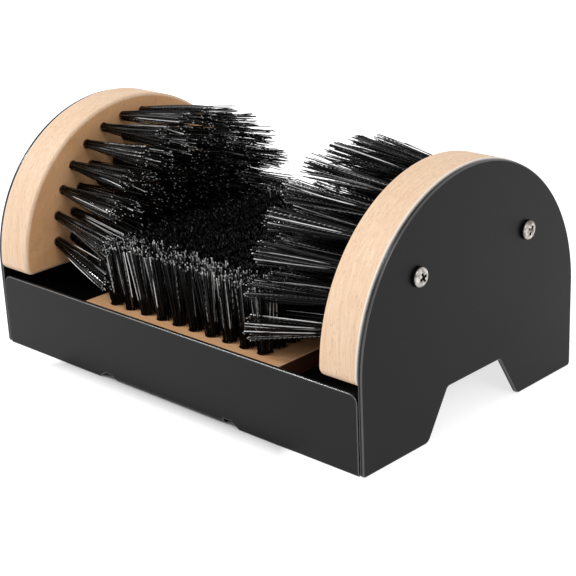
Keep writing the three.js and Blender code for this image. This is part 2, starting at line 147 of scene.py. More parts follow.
# Tufts of the side brushes
ROW_SIDE_MARGIN = 24.7
ROW_TOP_MARGIN = 10.8
ROW_BOTTOM_MARGIN = 15.8
ROW_SPACING = 12
ROW_COUNT = 6
SIDE_TUFT_PITCH = 15.9
SIDE_SPREAD_ACROSS = 0.16              # how far the tips spread, as shares of the distance to the middle
SIDE_SPREAD_UP = 0.15
SIDE_SPREAD_DOWN = 0.29
SIDE_LENGTH = FACE_X - SIDE_LOW[0]
SIDE_FILAMENT_RADIUS = 0.3
SIDE_TUFT = {"root_radius": 2.6, "length": SIDE_LENGTH, "depth": 0.06, "trim": 0.5}
SIDE_CRIMP = (0.2, 3.0)                # height and length of the wave
SIDE_CRIMP_STEPS = 86                  # about four on each wave
SIDE_STEPS = 7
SIDE_TOP = BLOCK_HIGH[2] - 0.6         # no filament's middle line is higher
SIDE_TOP_SOFTNESS = 1.2                # those that would be higher bend over within this of it
OUTER_ROWS = 2                         # rows in the first of a side brush's two pieces
OUTER_TUFTS = {"count": 50, "crimped": 10, "tip_radius": 6.6, "shines": (1.0, 1.0)}
# painted shade: the lower shines darken the inner rows, where the brush lies in shade
INNER_TUFTS = {"count": 66, "crimped": 0, "tip_radius": 8.0, "shines": (0.65, 0.5, 0.4, 0.35)}

# Tufts of the bottom brush
BOTTOM_TUFT_MARGIN = 17
BOTTOM_TUFT_PITCH_X = 13.3
BOTTOM_TUFT_PITCH_Y = 10.7
BOTTOM_SPLAY = 0.04
BOTTOM_LENGTH = BOTTOM_HIGH[2] - BOARD_TOP
BOTTOM_FILAMENT_RADIUS = 0.34
BOTTOM_TUFT = {"root_radius": 4.0, "tip_radius": 6.3, "length": BOTTOM_LENGTH, "depth": 0.12, "trim": 0.9}
BOTTOM_CRIMP = (0.18, 4.0)
BOTTOM_CRIMP_STEPS = 36
BOTTOM_STEPS = 5
BOTTOM_COUNT = 60
BOTTOM_CRIMPED = 5
SHINY_ROWS = 2                         # rows along the front and back that keep their painted glints; the rows between get painted shade
# painted shade: the share of shine left to the rows between
INNER_SHINE = 0.35

SEEDS = {"right": 11, "left": 23, "bottom": 31}

# Screws
SIDE_SCREW = {"head_radius": 5.5, "head_height": 3, "shank_radius": 2.5, "length": 22, "pitch": 2.2}
FLOOR_SCREW = {"head_radius": 4, "head_height": 2.2, "shank_radius": 2, "length": 8.8, "pitch": 1.6}
SCREW_SIDES = 40
THREAD_DEPTH = 0.22                    # share of the shank's radius
THREAD_STEPS = 8                       # rings on each turn of the thread
THREAD_SHARPNESS = 1.5
THREAD_END = -0.6                      # heights under the head where the thread and the neck end
NECK_END = -0.3
POINT_LENGTH = 1.6                     # share of the shank's radius
POINT_WIDTH = 0.04                     # the blunt end of the point, as a share of the shank
HEAD_EDGE = 0.25                       # chamfer under the head
HEAD_RIM = 0.28                        # share of the head's height under its domed top
HEAD_ROUNDNESS = 2 / 2.5
HEAD_STEPS = 14
HEAD_LAST_ANGLE = 88                   # in degrees: the dome ends in a small flat
RECESS_SPAN = 0.52                     # shares of the head's radius
RECESS_HALF_WIDTH = 0.15
RECESS_DEPTH = 0.66                    # share of the head's height
RECESS_TAPER = 0.45                    # length of the recess at its bottom, as a share of that at its top
RECESS_MARGIN = 0.1                    # how far its cutters stand out of the head
SIDE_SCREW_TURNS = {"right_front": 22, "right_back": 61, "left_front": 40, "left_back": 5}
FLOOR_SCREWS = ("left_front", "right_front", "left_back", "right_back")
FLOOR_SCREW_TURN = 25
FLOOR_SCREW_TURN_STEP = 37

# Camera, with its angles in degrees and its places in millimetres
CAMERA_AZIMUTH = 44.442
CAMERA_ELEVATION = 20.441
CAMERA_ROLL = -2.544
CAMERA_TARGET = (150.03, -142.33, 117.41)
CAMERA_DISTANCE = 657.99
CAMERA_LENS = 93.61                    # on a sensor 36 mm wide
CAMERA_CLIP = (0.01, 50)               # in metres

# Studio, in metres and watts: each softbox has a name, a direction, a distance, a size and a power
SOFTBOXES = (
    ("key", (-0.62, -0.42, 0.66), 3.2, 0.4, 36),
    ("front", (-0.6, -0.79, 0.12), 3.0, 1.2, 16),
    ("fill", (0.75, -0.35, 0.6), 3.0, 1.0, 12),
)
SOFTBOX_AIM = (0, 0, 0.07)
WORLD_LIGHT = 0.6
FLOOR_HALF_SIZE = 4.0
FLOOR_GAP = 0.1 * MM                   # keeps the floor clear of the feet, which end at the ground
FLOOR_GLOW = 0.74
FLOOR_FADE = (0.6, 2.0)                # distances where the floor begins and ends to turn into the background
UNDER_TRAY_X = (0.085, 0.1)            # distances from the middle where the painted shade under the tray ends
UNDER_TRAY_Y = (0.0875, 0.105)

CORNER_STEPS = 8
ARCH_STEPS = 96
DRILL_SIDES = 28
CUT_MARGIN = 1                         # how far a drill stands out of what it cuts
NEAR = 0.01                            # two places closer than this are the same


# Outlines, as lists of two coordinates

def arc(centre, radius, start, end, steps):
    """Points of an arc, its angles in degrees from the first axis towards the second."""
    angles = np.radians(np.linspace(start, end, steps + 1))
    return [(centre[0] + radius * math.cos(a), centre[1] + radius * math.sin(a)) for a in angles]


def rounded(corners):
    """An outline of straight sides. Corners are (u, v, radius), and a radius of 0 is left sharp."""
    points = []
    for i, (u, v, radius) in enumerate(corners):
        if radius == 0:
            points.append((u, v))
            continue
        corner = Vector((u, v))
        before = (Vector(corners[i - 1][:2]) - corner).normalized()
        after = (Vector(corners[(i + 1) % len(corners)][:2]) - corner).normalized()
        half = before.angle(after) / 2
        centre = corner + (before + after).normalized() * (radius / math.sin(half))
        start = corner + before * (radius / math.tan(half)) - centre
        end = corner + after * (radius / math.tan(half)) - centre
        first = math.atan2(start.y, start.x)
        turn = (math.atan2(end.y, end.x) - first + math.pi) % (2 * math.pi) - math.pi
        points += arc(centre, radius, math.degrees(first), math.degrees(first + turn), CORNER_STEPS)
    return points


def end_plate_outline():
    """(y, z) of an end plate: two feet with a notch between them, and a round top."""
    feet = rounded([
        (-HALF_DEPTH, SPRING, 0),
        (-HALF_DEPTH, 0, FOOT_RADIUS),
        (-NOTCH_BOTTOM_WIDTH / 2, 0, NOTCH_FOOT_RADIUS),
        (-NOTCH_TOP_WIDTH / 2, NOTCH_HEIGHT, NOTCH_TOP_RADIUS),
        (NOTCH_TOP_WIDTH / 2, NOTCH_HEIGHT, NOTCH_TOP_RADIUS),
        (NOTCH_BOTTOM_WIDTH / 2, 0, NOTCH_FOOT_RADIUS),
        (HALF_DEPTH, 0, FOOT_RADIUS),
        (HALF_DEPTH, SPRING, 0),
    ])
    return feet + arc((0, SPRING), HALF_DEPTH, 0, 180, ARCH_STEPS)[1:-1]


def side_block_outline():
    """(y, z) of a side block: a half disc with rounded lower corners, kept within the CAD block's depth."""
    lower = rounded([
        (-BLOCK_RADIUS, BLOCK_BOTTOM + 2 * BLOCK_CORNER_RADIUS, 0),
        (-BLOCK_RADIUS, BLOCK_BOTTOM, BLOCK_CORNER_RADIUS),
        (BLOCK_RADIUS, BLOCK_BOTTOM, BLOCK_CORNER_RADIUS),
        (BLOCK_RADIUS, BLOCK_BOTTOM + 2 * BLOCK_CORNER_RADIUS, 0),
    ])[1:-1]
    first = math.degrees(math.asin((BLOCK_BOTTOM + BLOCK_CORNER_RADIUS - SPRING) / BLOCK_RADIUS))
    outline = lower[:-1] + arc((0, SPRING), BLOCK_RADIUS, first, 180 - first, ARCH_STEPS)[:-1]
    return [(min(max(y, BLOCK_LOW[1]), BLOCK_HIGH[1]), z) for y, z in outline]


def panel_blank_outline():
    """(x, z) of a panel before it is folded: the flange hangs down as a tongue between the relief cuts."""
    half_length = PANEL_HIGH[0]
    inner = FLANGE_LENGTH / 2
    shoulder = inner + RELIEF_TOP_WIDTH
    outer = inner + RELIEF_BOTTOM_WIDTH
    top = [(side * half_length, PANEL_HEIGHT, PANEL_CORNER_RADIUS) for side in (1, -1)]
    left = [(-half_length, 0, 0)]
    left += [(-x, z, RELIEF_CORNER_RADIUS) for x, z in ((outer, 0), (shoulder, FOLD_Z), (inner, FOLD_Z))]
    tongue = [(side * inner, FOLD_Z - TONGUE_LENGTH, FLANGE_CORNER_RADIUS) for side in (-1, 1)]
    right = [(-x, z, radius) for x, z, radius in reversed(left)]
    return rounded(top + left + tongue + right)


# Solids

def prism(outline, start, end, axis):
    """A closed solid: an outline across the axis (0 is X, 1 is Y, 2 is Z), from start to end along it."""
    bm = bmesh.new()
    rings = []
    for place_along in (start, end):
        points = [list(point) for point in outline]
        for point in points:
            point.insert(axis, place_along)
        rings.append([bm.verts.new(point) for point in points])
    count = len(outline)
    for i in range(count):
        j = (i + 1) % count
        bm.faces.new((rings[0][i], rings[0][j], rings[1][j], rings[1][i]))
    bm.faces.new(list(reversed(rings[0])))
    bm.faces.new(rings[1])
    bmesh.ops.recalc_face_normals(bm, faces=bm.faces)
    return bm


def round_edges(bm, width, steps=3, where=None, sharper_than=25, material=0):
    """Rounds the sharp edges, or those of them whose ends pass the test where.

    The new faces take the material's number. Sharper_than is in degrees."""
    chosen = []
    for edge in bm.edges:
        sharp = edge.is_manifold and edge.calc_face_angle() > math.radians(sharper_than)
        if sharp and (where is None or all(where(v.co) for v in edge.verts)):
            chosen.append(edge)
    bmesh.ops.bevel(
        bm, geom=chosen, offset=width, segments=steps, profile=0.5, affect="EDGES", clamp_overlap=True,
        material=material,
    )
    return bm


def lathe(rings, sides):
    """A closed solid of rings about Z, each its height and its radius, or its radius at each side."""
    bm = bmesh.new()
    angles = np.linspace(0, 2 * math.pi, sides, endpoint=False)
    loops = []
    for height, radius in rings:
        radii = np.broadcast_to(radius, sides)
        loops.append([
            bm.verts.new((r * math.cos(a), r * math.sin(a), height)) for r, a in zip(radii, angles)
        ])
    for lower, upper in zip(loops, loops[1:]):
        for i in range(sides):
            j = (i + 1) % sides
            bm.faces.new((lower[i], lower[j], upper[j], upper[i]))
    bm.faces.new(list(reversed(loops[0])))
    bm.faces.new(loops[-1])
    return bm


def drills(centres, radius, start, end, axis):
    """Round bars along an axis at the given places across it."""
    whole = bmesh.new()
    for centre in centres:
        bar = prism(arc(centre, radius, 0, 360, DRILL_SIDES)[:-1], start, end, axis)
        mesh = bpy.data.meshes.new("bar")
        bar.to_mesh(mesh)
        bar.free()
        whole.from_mesh(mesh)
        bpy.data.meshes.remove(mesh)
    return whole


# Objects

def new_object(name, data):
    """A new object, put into the scene."""
    obj = bpy.data.objects.new(name, data)
    bpy.context.scene.collection.objects.link(obj)
    return obj


def to_object(bm, name, *materials):
    """Takes a solid from millimetres to metres and makes an object of it."""
    bmesh.ops.scale(bm, vec=(MM, MM, MM), verts=bm.verts)
    mesh = bpy.data.meshes.new(name)
    bm.to_mesh(mesh)
    bm.free()
    for material in materials:
        mesh.materials.append(material)
    return new_object(name, mesh)


def shade(obj, angle=32):
    """Smooth shading, but for edges sharper than an angle in degrees, with the flat faces kept flat."""
    obj.data.polygons.foreach_set("use_smooth", np.ones(len(obj.data.polygons), bool))
    obj.data.set_sharp_from_angle(angle=math.radians(angle))
    normals = obj.modifiers.new("flat_faces", "WEIGHTED_NORMAL")
    normals.keep_sharp = True
    return obj


def cut(obj, cutter_bm):
    """Takes the cutter, in millimetres, out of the object."""
    cutter = to_object(cutter_bm, "cutter")
    modifier = obj.modifiers.new("cut", "BOOLEAN")
    modifier.operation = "DIFFERENCE"
    modifier.solver = "EXACT"
    modifier.object = cutter
    bpy.context.view_layer.update()
    result = obj.evaluated_get(bpy.context.evaluated_depsgraph_get())
    mesh = bpy.data.meshes.new_from_object(result)
    obj.modifiers.clear()
    obj.data = mesh
    bpy.data.objects.remove(cutter)
    return obj


def moved_copy(obj, name, matrix):
    """The same piece moved by a matrix, with a mesh of its own."""
    copy = obj.copy()
    copy.data = obj.data.copy()
    copy.name = name
    copy.data.name = name
    copy.data.transform(matrix)
    bpy.context.scene.collection.objects.link(copy)
    return copy


def place(obj, slot, *nodes):
    """Puts a finished piece on the frame, in the stead of its CAD nodes."""
    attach(obj, BODY)
    if nodes:
        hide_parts(*nodes)
    return obj


# Materials

def even(value):
    """A grey colour, or a scale that is the same along all three axes."""
    return (value, value, value)


def new_material(name, **values):
    """A material and its shader, with the plain values set on the shader's own sockets."""
    material = bpy.data.materials.new(name)
    material.use_nodes = True
    shader = material.node_tree.nodes["Principled BSDF"]
    for key, value in values.items():
        shader.inputs[key.replace("_", " ")].default_value = value
    return material, shader


class Nodes:
    """Adds nodes to a material or a world, each linked to the ones before it."""

    def __init__(self, owner):
        self.tree = owner.node_tree

    def put(self, value, socket):
        """Links another node's socket, or sets a plain value. A colour may come without its alpha."""
        if isinstance(value, bpy.types.NodeSocket):
            self.tree.links.new(value, socket)
        elif socket.type == "RGBA":
            socket.default_value = (*value[:3], 1)
        else:
            socket.default_value = value

    def add(self, kind, inputs=None, **settings):
        """A new node. Inputs goes by the names or numbers of its sockets."""
        node = self.tree.nodes.new(kind)
        for key, value in settings.items():
            setattr(node, key, value)
        for key, value in (inputs or {}).items():
            self.put(value, node.inputs[key])
        return node

    def position(self):
        """The place on the piece, in metres."""
        return self.add("ShaderNodeTexCoord").outputs["Object"]

    def noise(self, scale, detail=3, roughness=0.5, distortion=0, tilt=(0, 0, 0)):
        """Noise of so many periods per metre along X, Y and Z, after a tilt by degrees."""
        turn = tuple(math.radians(a) for a in tilt)
        tilted = self.add("ShaderNodeMapping", {"Vector": self.position(), "Rotation": turn})
        scaled = self.add("ShaderNodeMapping", {"Vector": tilted.outputs["Vector"], "Scale": scale})
        noise = self.add("ShaderNodeTexNoise", {
            "Vector": scaled.outputs["Vector"], "Scale": 1, "Detail": detail, "Roughness": roughness,
            "Distortion": distortion,
        })
        return noise.outputs["Fac"]

    def part(self, vector, axis):
        """A vector's size along an axis, without its sign."""
        return self.math("ABSOLUTE", self.add("ShaderNodeSeparateXYZ", {"Vector": vector}).outputs[axis])

    def facing(self, axis):
        """How squarely the surface faces along an axis, either way: 0 to 1."""
        return self.part(self.add("ShaderNodeNewGeometry").outputs["Normal"], axis)

    def ramp(self, value, *stops):
        """Colours between stops, each a place from 0 to 1 and a colour."""
        node = self.add("ShaderNodeValToRGB", {"Fac": value})
        elements = node.color_ramp.elements
        while len(elements) < len(stops):
            elements.new(0.5)
        for element, (position, colour) in zip(elements, stops):
            element.position = position
            element.color = (*colour, 1)
        return node.outputs["Color"]

    def spread(self, value, low, high, to_low, to_high):
        """Takes the range from low to high to another one, and holds what lies outside at its ends."""
        limits = {0: value, 1: low, 2: high, 3: to_low, 4: to_high}
        return self.add("ShaderNodeMapRange", limits).outputs["Result"]

    def math(self, operation, a, b=0.0):
        return self.add("ShaderNodeMath", {0: a, 1: b}, operation=operation).outputs["Value"]

    def mix(self, factor, a, b):
        """Colour a where the factor is 0, and colour b where it is 1."""
        return self.add("ShaderNodeMix", {0: factor, 6: a, 7: b}, data_type="RGBA").outputs[2]

    def bump(self, height, depth):
        """A normal from a height of 0 to 1, where 1 stands depth millimetres proud."""
        inputs = {"Height": height, "Distance": depth * MM, "Strength": 1.0}
        return self.add("ShaderNodeBump", inputs).outputs["Normal"]

    def attribute(self, name):
        return self.add("ShaderNodeAttribute", attribute_name=name).outputs["Fac"]


def powder_coat():
    """Satin black powder coat: a fine grain over a slow orange peel."""
    material, shader = new_material("powder_coat", Specular_IOR_Level=0.15)
    nodes = Nodes(material)
    grain = nodes.noise(even(2600), detail=2)
    peel = nodes.noise(even(420), detail=1)
    cloud = nodes.noise(even(18))
    height = nodes.math("ADD", nodes.math("MULTIPLY", grain, 0.35), peel)
    nodes.put(nodes.bump(height, 0.02), shader.inputs["Normal"])
    colour = nodes.ramp(cloud, (0.3, (0.006, 0.006, 0.0062)), (0.7, (0.0085, 0.0085, 0.0088)))
    nodes.put(colour, shader.inputs["Base Color"])
    clouded = nodes.spread(cloud, 0.3, 0.7, 0.33, 0.4)
    nodes.put(nodes.math("ADD", clouded, nodes.math("MULTIPLY", grain, 0.06)), shader.inputs["Roughness"])
    return material


def coat_edge_highlight():
    """The same coat where it flows out smooth over a rounded edge: glossier, and painted paler as a painted
    highlight along the edge.
    """
    material, shader = new_material("coat_edge_highlight", Specular_IOR_Level=1.0)
    nodes = Nodes(material)
    cloud = nodes.noise(even(60), detail=2)
    # painted highlight: paler than the flat coat
    colour = nodes.ramp(cloud, (0.3, (0.010, 0.010, 0.0104)), (0.7, (0.018, 0.018, 0.0187)))
    nodes.put(colour, shader.inputs["Base Color"])
    nodes.put(nodes.spread(cloud, 0.3, 0.7, 0.2, 0.26), shader.inputs["Roughness"])
    return material


def beech(name, face_axis, layers, fibres, flecks, tilt, end_axis=None, pale_edge=None):
    """Sanded beech, deeper in tone on the faces square to face_axis, partly its own tone and partly painted
    shade, darkest on the end grain square to end_axis, its darker tone with painted shade over it, and pale,
    a painted highlight, where it is further than pale_edge millimetres from the middle along X.

    Layers, fibres and flecks are each periods per metre along X, Y and Z."""
    material, shader = new_material(name, Specular_IOR_Level=0.3)
    nodes = Nodes(material)
    layer = nodes.noise(layers, detail=5, roughness=0.65, distortion=0.8, tilt=tilt)
    fibre = nodes.noise(fibres, roughness=0.6, tilt=tilt)
    cloud = nodes.noise(even(22), detail=2)
    fleck = nodes.noise(flecks, detail=2, roughness=0.4, tilt=tilt)
    rim = nodes.ramp(layer, *zip(LAYER_STOPS, RIM_COLOURS))
    face = nodes.ramp(layer, *zip(LAYER_STOPS, FACE_COLOURS))
    # the broad face's deeper tone is partly painted shade
    colour = nodes.mix(nodes.spread(nodes.facing(face_axis), 0.9, 0.995, 0.0, 1.0), rim, face)
    colour = nodes.mix(nodes.spread(fibre, 0.4, 0.7, 0.0, 0.5), colour, FIBRE_COLOUR)
    colour = nodes.mix(nodes.spread(cloud, 0.35, 0.65, 0.0, 0.2), colour, WARM_COLOUR)
    pore = nodes.spread(fleck, 0.63, 0.72, 0.0, 0.4)
    colour = nodes.mix(pore, colour, FLECK_COLOUR)
    # the end grain's own darker tone, with painted shade over it
    if end_axis:
        end = nodes.spread(nodes.facing(end_axis), 0.8, 0.97, 0.0, 0.98)
        colour = nodes.mix(end, colour, END_GRAIN_AND_SHADE_COLOUR)
    # painted highlight: a pale strip along the block's edge by the end plate
    if pale_edge:
        across = nodes.part(nodes.position(), "X")
        edge = nodes.spread(across, pale_edge * MM, (pale_edge + 0.3) * MM, 0.0, 0.9)
        colour = nodes.mix(edge, colour, PALE_BACK_COLOUR)
    nodes.put(colour, shader.inputs["Base Color"])
    nodes.put(nodes.spread(fibre, 0.3, 0.7, 0.5, 0.62), shader.inputs["Roughness"])
    height = nodes.math("SUBTRACT", fibre, nodes.math("MULTIPLY", pore, 0.8))
    nodes.put(nodes.bump(height, 0.05), shader.inputs["Normal"])
    return material


def bristle():
    """Black synthetic filament. Each has its own shade, from 0, dull black, to 1, pale: the pale filaments
    are painted glints, and the shade is lowered as painted shade towards the roots, in the inner rows and at
    the back.
    """
    material, shader = new_material("bristle", IOR=1.6, Specular_IOR_Level=0.08)
    nodes = Nodes(material)
    mottle = nodes.noise(even(300), detail=2)
    own = nodes.math("MULTIPLY", nodes.attribute("filament_glint_and_shade"), 0.95)
    value = nodes.math("ADD", own, nodes.math("MULTIPLY", mottle, 0.1))
    # painted glints: the palest shades give pale filaments that stand in for highlights
    colour = nodes.ramp(
        value, (0.0, even(0.002)), (0.69, even(0.004)), (0.875, even(0.02)), (0.925, even(0.6)),
        (1.0, even(1.0)),
    )
    nodes.put(colour, shader.inputs["Base Color"])
    nodes.put(nodes.spread(mottle, 0.3, 0.7, 0.26, 0.34), shader.inputs["Roughness"])
    return material


def bristle_end_glint():
    """The end of a filament, painted paler than the rest of it as a painted glint."""
    material, shader = new_material("bristle_end_glint", Specular_IOR_Level=0.3)
    nodes = Nodes(material)
    own = nodes.attribute("filament_glint_and_shade")
    colour = nodes.ramp(own, (0.0, even(0.005)), (0.44, even(0.02)), (0.6, even(0.3)), (1.0, even(1.0)))
    nodes.put(colour, shader.inputs["Base Color"])
    nodes.put(nodes.spread(own, 0, 1, 0.35, 0.6), shader.inputs["Roughness"])
    return material


def crimped_bristle():
    """Crimped filament, glossy black, so that its waves catch the light."""
    material, shader = new_material("crimped_bristle", IOR=1.6, Specular_IOR_Level=0.8)
    nodes = Nodes(material)
    mottle = nodes.noise(even(300), detail=2)
    nodes.put(nodes.ramp(mottle, (0.3, even(0.002)), (0.7, even(0.006))), shader.inputs["Base Color"])
    nodes.put(nodes.spread(mottle, 0.3, 0.7, 0.1, 0.14), shader.inputs["Roughness"])
    return material


def plated(name, head_axis):
    """Plated screw steel with faint drawing marks, bright where it faces along head_axis, else darkened
    nearly to black as painted shade, as in the cross recess and round the sides.
    """
    material, shader = new_material(name, Metallic=1.0)
    nodes = Nodes(material)
    cloud = nodes.noise(even(520))
    scratch = nodes.noise((5000, 700, 700), detail=2)
    bright = nodes.ramp(cloud, (0.35, (0.20, 0.175, 0.16)), (0.65, (0.66, 0.62, 0.58)))
    # painted shade: dark where the surface does not face along the head's axis
    out_of_painted_shade = nodes.spread(nodes.facing(head_axis), 0.35, 0.95, 0.0, 1.0)
    nodes.put(nodes.mix(out_of_painted_shade, (0.05, 0.045, 0.04), bright), shader.inputs["Base Color"])
    clouded = nodes.spread(cloud, 0.3, 0.7, 0.16, 0.26)
    nodes.put(nodes.math("ADD", clouded, nodes.math("MULTIPLY", scratch, 0.08)), shader.inputs["Roughness"])
    nodes.put(nodes.bump(scratch, 0.01), shader.inputs["Normal"])
    return material


# Pieces of the tray

def build_end_plates(coat, edge):
    bm = round_edges(prism(end_plate_outline(), PLATE_LOW[0], PLATE_HIGH[0], 0), SHEET_ROUNDING, material=1)
    right = shade(to_object(bm, "right_end_plate_coated", coat, edge))
    left = moved_copy(right, "left_end_plate_coated", HALF_TURN)
    place(right, "powder_coated_steel", "right_end_plate")
    place(left, "powder_coated_steel", "left_end_plate")


def fold_flange(bm):
    """Bends the tongue of a panel's blank inwards, a quarter turn about the inside of the sheet."""
    centre_y = PANEL_INNER_Y + BEND_RADIUS
    for vert in bm.verts:
        below = FOLD_Z - vert.co.z
        if below <= 0 or abs(vert.co.x) > FLANGE_LENGTH / 2 + SHEET_ROUNDING:
            continue
        radius = centre_y - vert.co.y
        angle = min(below / BEND_MIDDLE, math.pi / 2)
        run = max(below - BEND_LENGTH, 0)
        vert.co.y = centre_y - radius * math.cos(angle) + run
        vert.co.z = FOLD_Z - radius * math.sin(angle)


def build_panels(coat, edge):
    bm = prism(panel_blank_outline(), PANEL_FACE_Y, PANEL_INNER_Y, 1)
    round_edges(bm, SHEET_ROUNDING, material=1)
    for i in range(BEND_STEPS + 1):
        level = FOLD_Z - BEND_LENGTH * i / BEND_STEPS
        bmesh.ops.bisect_plane(
            bm, geom=bm.verts[:] + bm.edges[:] + bm.faces[:], dist=0.001,
            plane_co=(0, 0, level), plane_no=(0, 0, 1),
        )
    fold_flange(bm)
    front = to_object(bm, "front_panel_coated", coat, edge)
    hole_y = PANEL_INNER_Y + FLANGE_REACH / 2
    centres = [(side * FIXING_HOLE_SPACING / 2, hole_y) for side in (-1, 1)]
    shade(cut(front, drills(centres, FIXING_HOLE_RADIUS, 0, FOLD_Z, 2)))
    back = moved_copy(front, "back_panel_coated", HALF_TURN)
    place(front, "powder_coated_steel", "front_panel")
    place(back, "powder_coated_steel", "back_panel")


def finish_floor(coat):
    """The tray floor keeps its CAD shape and takes the coat."""
    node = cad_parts["tray_floor"]
    node.data.materials.clear()
    node.data.materials.append(coat)


# Wood

def side_tufts():
    """Rows of the right brush, each a list of (y, z) of its tufts."""
    base_z = BLOCK_BOTTOM + ROW_BOTTOM_MARGIN
    outer_width = BLOCK_RADIUS - ROW_SIDE_MARGIN
    outer_rise = SPRING + BLOCK_RADIUS - ROW_TOP_MARGIN - base_z
    rows = []
    for row in range(ROW_COUNT):
        width = outer_width - row * ROW_SPACING
        rise = outer_rise - row * ROW_SPACING
        length = math.pi * math.sqrt((width**2 + rise**2) / 2)
        angles = np.linspace(0, math.pi, round(length / SIDE_TUFT_PITCH) + 1)
        rows.append([(width * math.cos(a), base_z + rise * math.sin(a)) for a in angles])
    return rows


def bottom_tufts():
    """(x, y) of the tufts of the bottom brush."""
    places = []
    for low, high, pitch in (
        (BOARD_LOW[0], BOARD_HIGH[0], BOTTOM_TUFT_PITCH_X),
        (BOARD_LOW[1], BOARD_HIGH[1], BOTTOM_TUFT_PITCH_Y),
    ):
        gaps = int((high - low - 2 * BOTTOM_TUFT_MARGIN) / pitch)
        places.append((low + high) / 2 + (np.arange(gaps + 1) - gaps / 2) * pitch)
    return [(x, y) for x in places[0] for y in places[1]]


def build_side_blocks():
    wood = beech(
        "beech_block", "X", layers=(330, 26, 11), fibres=(1500, 300, 50), flecks=(1300, 900, 330),
        tilt=(0, 7, 4), pale_edge=BLOCK_HIGH[0] - PALE_BACK,
    )
    bm = prism(side_block_outline(), FACE_X, BLOCK_HIGH[0], 0)
    round_edges(bm, BLOCK_FACE_ROUNDING, 4, where=lambda co: abs(co.x - FACE_X) < NEAR)
    round_edges(
        bm, BLOCK_BACK_ROUNDING, where=lambda co: abs(co.x - BLOCK_HIGH[0]) < NEAR, sharper_than=60,
    )
    right = to_object(bm, "right_block_beech", wood)
    holes = [tuft for row in side_tufts() for tuft in row]
    cut(right, drills(holes, SIDE_HOLE_RADIUS, FACE_X - CUT_MARGIN, FACE_X + HOLE_DEPTH, 0))
    shade(right)
    left = moved_copy(right, "left_block_beech", HALF_TURN)
    place(right, "beech", "right_brush_block")
    place(left, "beech", "left_brush_block")


def build_board():
    wood = beech(
        "beech_board", "Z", layers=(11, 60, 300), fibres=(50, 1300, 1300), flecks=(330, 1200, 1200),
        tilt=(4, 2, 0), end_axis="X",
    )
    (left, front), (right, back) = BOARD_LOW[:2], BOARD_HIGH[:2]
    corners = ((right, back), (left, back), (left, front), (right, front))
    outline = rounded([(x, y, BOARD_CORNER_RADIUS) for x, y in corners])
    bm = round_edges(prism(outline, BOARD_LOW[2], BOARD_TOP, 2), BOARD_ROUNDING)
    board = to_object(bm, "bottom_board_beech", wood)
    cut(board, drills(bottom_tufts(), BOTTOM_HOLE_RADIUS, BOARD_TOP - HOLE_DEPTH, BOARD_TOP + CUT_MARGIN, 2))
    place(shade(board), "beech", "bottom_brush_block")


# Bristles

def sunflower(rng, count, radius):
    """Places spread evenly over a round hole, with a little disorder, as an array of two coordinates."""
    golden = math.pi * (3 - math.sqrt(5))
    steps = np.arange(count) + 0.5
    angle = steps * golden + rng.uniform(0, 2 * math.pi)
    reach = radius * np.sqrt(steps / count)
    places = np.stack([reach * np.cos(angle), reach * np.sin(angle)], axis=1)
    return places + rng.normal(0, HOLE_DISORDER * radius, places.shape)


def soft_limit(values, limit, softness):
    """Values kept under a limit, bending over within about the softness of it."""
    return limit - softness * np.logaddexp(0, (limit - values) / softness)


def tuft_lines(rng, count, steps, root, lean, crimp, root_radius, tip_radius, length, depth, trim):
    """Middle lines of a tuft's filaments, an array of (filament, step, 3).

    The last coordinate is the distance from the face that the tuft comes out of. Root is the tuft's place on
    that face, lean how far it has moved at its tips, crimp the wave's height and length, and trim how
    unevenly the tips are cut. The lines start behind the face, by the square of depth."""
    at_root = sunflower(rng, count, root_radius)
    stray = np.where(rng.uniform(0, 1, (count, 1)) < STRAY_SHARE, STRAY_REACH, 1.0)
    disorder = rng.normal(0, TIP_DISORDER * tip_radius, (count, 2))
    at_tip = at_root * (tip_radius / root_radius) * stray + disorder
    own_length = length + rng.normal(0, trim, count)
    run = np.append(np.linspace(-depth, 1 - GLINT_LENGTH / length, steps - 1), 1)[None, :]
    along = np.where(run < 0, run * depth, run * own_length[:, None])
    share = np.clip(along / length, 0, LARGEST_SHARE)[..., None]
    bow = rng.normal(0, BOW * length, (count, 1, 2)) * np.sin(math.pi * np.clip(share, 0, 1))
    across = at_root[:, None, :] + (at_tip - at_root)[:, None, :] * share**SPREAD_POWER + bow
    across = across + np.array(lean)[None, None, :] * share
    height, wave = crimp
    phase = 2 * math.pi * along / wave + rng.uniform(0, 2 * math.pi, (count, 1))
    direction = rng.uniform(0, 2 * math.pi, (count, 1))
    wiggle = height * np.sin(phase) * np.minimum(1, np.maximum(along, 0) / wave)
    across = across + np.stack([wiggle * np.cos(direction), wiggle * np.sin(direction)], axis=-1)
    return np.concatenate([across + np.array(root), along[..., None]], axis=-1)


